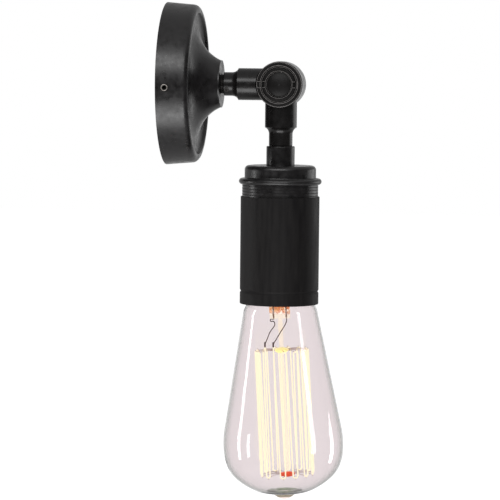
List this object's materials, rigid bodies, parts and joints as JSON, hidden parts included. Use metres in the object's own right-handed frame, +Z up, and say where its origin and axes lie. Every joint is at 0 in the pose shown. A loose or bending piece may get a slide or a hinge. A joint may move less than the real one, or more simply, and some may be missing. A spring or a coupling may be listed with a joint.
{
  "type": "wall light",
  "caption": "Pipe-style wall light: round canopy, short arm with a clamped knuckle joint, drop arm, metal lampholder and a large filament bulb.",
  "frame": {"origin": "middle of the mounting bracket's back face, on the wall, centred between its two screw slots", "axes": "+Y into the wall, so that the light stands out along -Y; +Z up; +X to the right seen from the room"},
  "size_m": [0.086, 0.0957, 0.2636],
  "materials": {
    "satin_black_paint": "satin black paint",
    "black_cast_metal": "satin black paint on a casting",
    "blackened_steel": "blackened",
    "zinc_plated_steel": "bright zinc plating",
    "brass": "plain turned brass",
    "tinned_brass": "tinned",
    "nickel_plated_brass": "nickel plated",
    "solder": "dull solder",
    "white_polyamide": "moulded",
    "fibre": "pressed fibre",
    "brown_insulation": "smooth",
    "blue_insulation": "smooth",
    "green_yellow_insulation": "smooth",
    "porcelain": "unglazed",
    "clear_glass": "clear, faintly smoky",
    "stem_glass": "clear",
    "black_glass": "opaque black",
    "copper_wire": "bare, copper coloured",
    "glass_bead_and_wire": "fused bead with fine wires",
    "glowing_filament": "carbon, glowing"
  },
  "bodies": {
    "wall_fitting": {"canopy": "satin_black_paint", "mounting_bracket": "zinc_plated_steel", "canopy_side_screws": "blackened_steel", "canopy_tube": "blackened_steel", "earth_tag": "tinned_brass", "lock_washer": "zinc_plated_steel", "locknut": "zinc_plated_steel", "terminal_block": "white_polyamide", "terminal_clamps": "brass", "terminal_clamp_screws": "zinc_plated_steel", "block_fixing_screw": "zinc_plated_steel", "earth_screw": "brass", "earth_ring_terminal": "tinned_brass", "earth_lead": "green_yellow_insulation", "live_core_upper": "brown_insulation", "neutral_core_upper": "blue_insulation", "upper_knuckle": "black_cast_metal", "neck_set_screw": "blackened_steel", "friction_washer": "fibre", "clamp_nut": "black_cast_metal"},
    "clamp_screw": {"clamp_screw": "black_cast_metal"},
    "lamp_arm": {"lower_knuckle": "black_cast_metal", "wave_washer": "zinc_plated_steel", "holder_tube": "blackened_steel", "entry_bush": "satin_black_paint", "holder_cap": "satin_black_paint", "holder_sleeve": "satin_black_paint", "ceramic_insert": "porcelain", "screw_shell": "nickel_plated_brass", "centre_contact": "tinned_brass", "holder_terminals": "brass", "holder_terminal_screws": "zinc_plated_steel", "live_core_lower": "brown_insulation", "neutral_core_lower": "blue_insulation"},
    "bulb": {"bulb_glass": "clear_glass", "bulb_cap": "nickel_plated_brass", "bulb_insulator": "black_glass", "bulb_contact": "solder", "glass_stem": "stem_glass", "lead_wires": "copper_wire", "upper_supports": "glass_bead_and_wire", "lower_supports": "glass_bead_and_wire", "filament": "glowing_filament"}
  },
  "joints": [
    {"name": "clamp_screw_turn", "type": "hinge", "parent": "wall_fitting", "child": "clamp_screw", "pos_m": [0, -0.0606, 0], "axis": [1, 0, 0], "range_deg": [0, 180]},
    {"name": "knuckle_tilt", "type": "hinge", "parent": "wall_fitting", "child": "lamp_arm", "pos_m": [0, -0.0606, 0], "axis": [-1, 0, 0], "range_deg": [-5, 185]},
    {"name": "bulb_withdraw", "type": "slide", "parent": "lamp_arm", "child": "bulb", "axis": [0, 0, -1], "range_m": [0, 0.045]}
  ]
}
